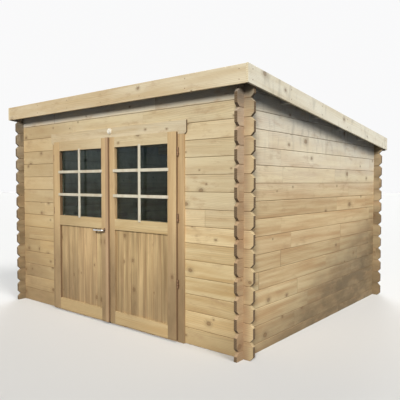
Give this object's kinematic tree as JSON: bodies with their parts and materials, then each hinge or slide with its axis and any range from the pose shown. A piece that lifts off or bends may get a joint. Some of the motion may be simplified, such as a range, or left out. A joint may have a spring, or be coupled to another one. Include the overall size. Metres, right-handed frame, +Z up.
{
  "type": "log garden shed",
  "caption": "Pent-roof garden shed of interlocking timber logs with notched corners, fascia boards and outward-opening part-glazed double doors with a lever handle.",
  "frame": {"origin": "middle of the shed's footprint on the ground", "axes": "+X to the right seen from the front, +Y towards the back wall, +Z up; the doors face -Y"},
  "size_m": [3.274, 2.984, 2.1883],
  "materials": {
    "log_timber": "pressure-treated softwood",
    "fascia_timber": "pale weathered softwood",
    "roof_timber": "planed softwood",
    "frame_timber": "pressure-treated softwood",
    "door_timber": "pressure-treated softwood",
    "strip_timber": "reddish softwood",
    "bar_timber": "pale planed softwood",
    "glass": "clear float glass",
    "felt": "mineral roofing felt",
    "steel": "satin zinc",
    "bronze": "bronzed steel",
    "button": "pale moulded"
  },
  "bodies": {
    "shed": {"front_wall_left": "log_timber", "front_wall_right": "log_timber", "front_wall_top": "log_timber", "back_wall": "log_timber", "left_wall": "log_timber", "right_wall": "log_timber", "roof_purlins": "roof_timber", "roof_deck": "roof_timber", "roof_felt": "felt", "front_fascia": "fascia_timber", "left_fascia": "fascia_timber", "right_fascia": "fascia_timber", "back_fascia": "fascia_timber", "door_head": "frame_timber", "left_jamb": "frame_timber", "right_jamb": "frame_timber", "door_threshold": "frame_timber", "head_button": "button", "left_hinge_pins": "bronze", "right_hinge_pins": "bronze"},
    "left_door": {"left_hinge_stile": "door_timber", "left_meeting_stile": "door_timber", "left_top_rail": "door_timber", "left_middle_rail": "door_timber", "left_bottom_rail": "door_timber", "left_panel": "door_timber", "left_glazing_bars": "bar_timber", "left_glass": "glass", "left_hinge_leaves": "bronze", "cover_strip": "strip_timber", "handle_roses": "bronze"},
    "right_door": {"right_hinge_stile": "door_timber", "right_meeting_stile": "door_timber", "right_top_rail": "door_timber", "right_middle_rail": "door_timber", "right_bottom_rail": "door_timber", "right_panel": "door_timber", "right_glazing_bars": "bar_timber", "right_glass": "glass", "right_hinge_leaves": "bronze"},
    "door_handle": {"door_handle": "steel"}
  },
  "joints": [
    {"name": "left_door_swing", "type": "hinge", "parent": "shed", "child": "left_door", "pos_m": [-0.851, -1.418, 0.95], "axis": [0, 0, -1], "range_deg": [0, 160]},
    {"name": "right_door_swing", "type": "hinge", "parent": "shed", "child": "right_door", "pos_m": [0.895, -1.418, 0.95], "axis": [0, 0, 1], "range_deg": [0, 160]},
    {"name": "lever_turn", "type": "hinge", "parent": "left_door", "child": "door_handle", "pos_m": [-0.0185, -1.428, 0.885], "axis": [0, -1, 0], "range_deg": [0, 40], "stiffness_Nm_per_rad": 1.2, "springref_deg": -45.84}
  ]
}
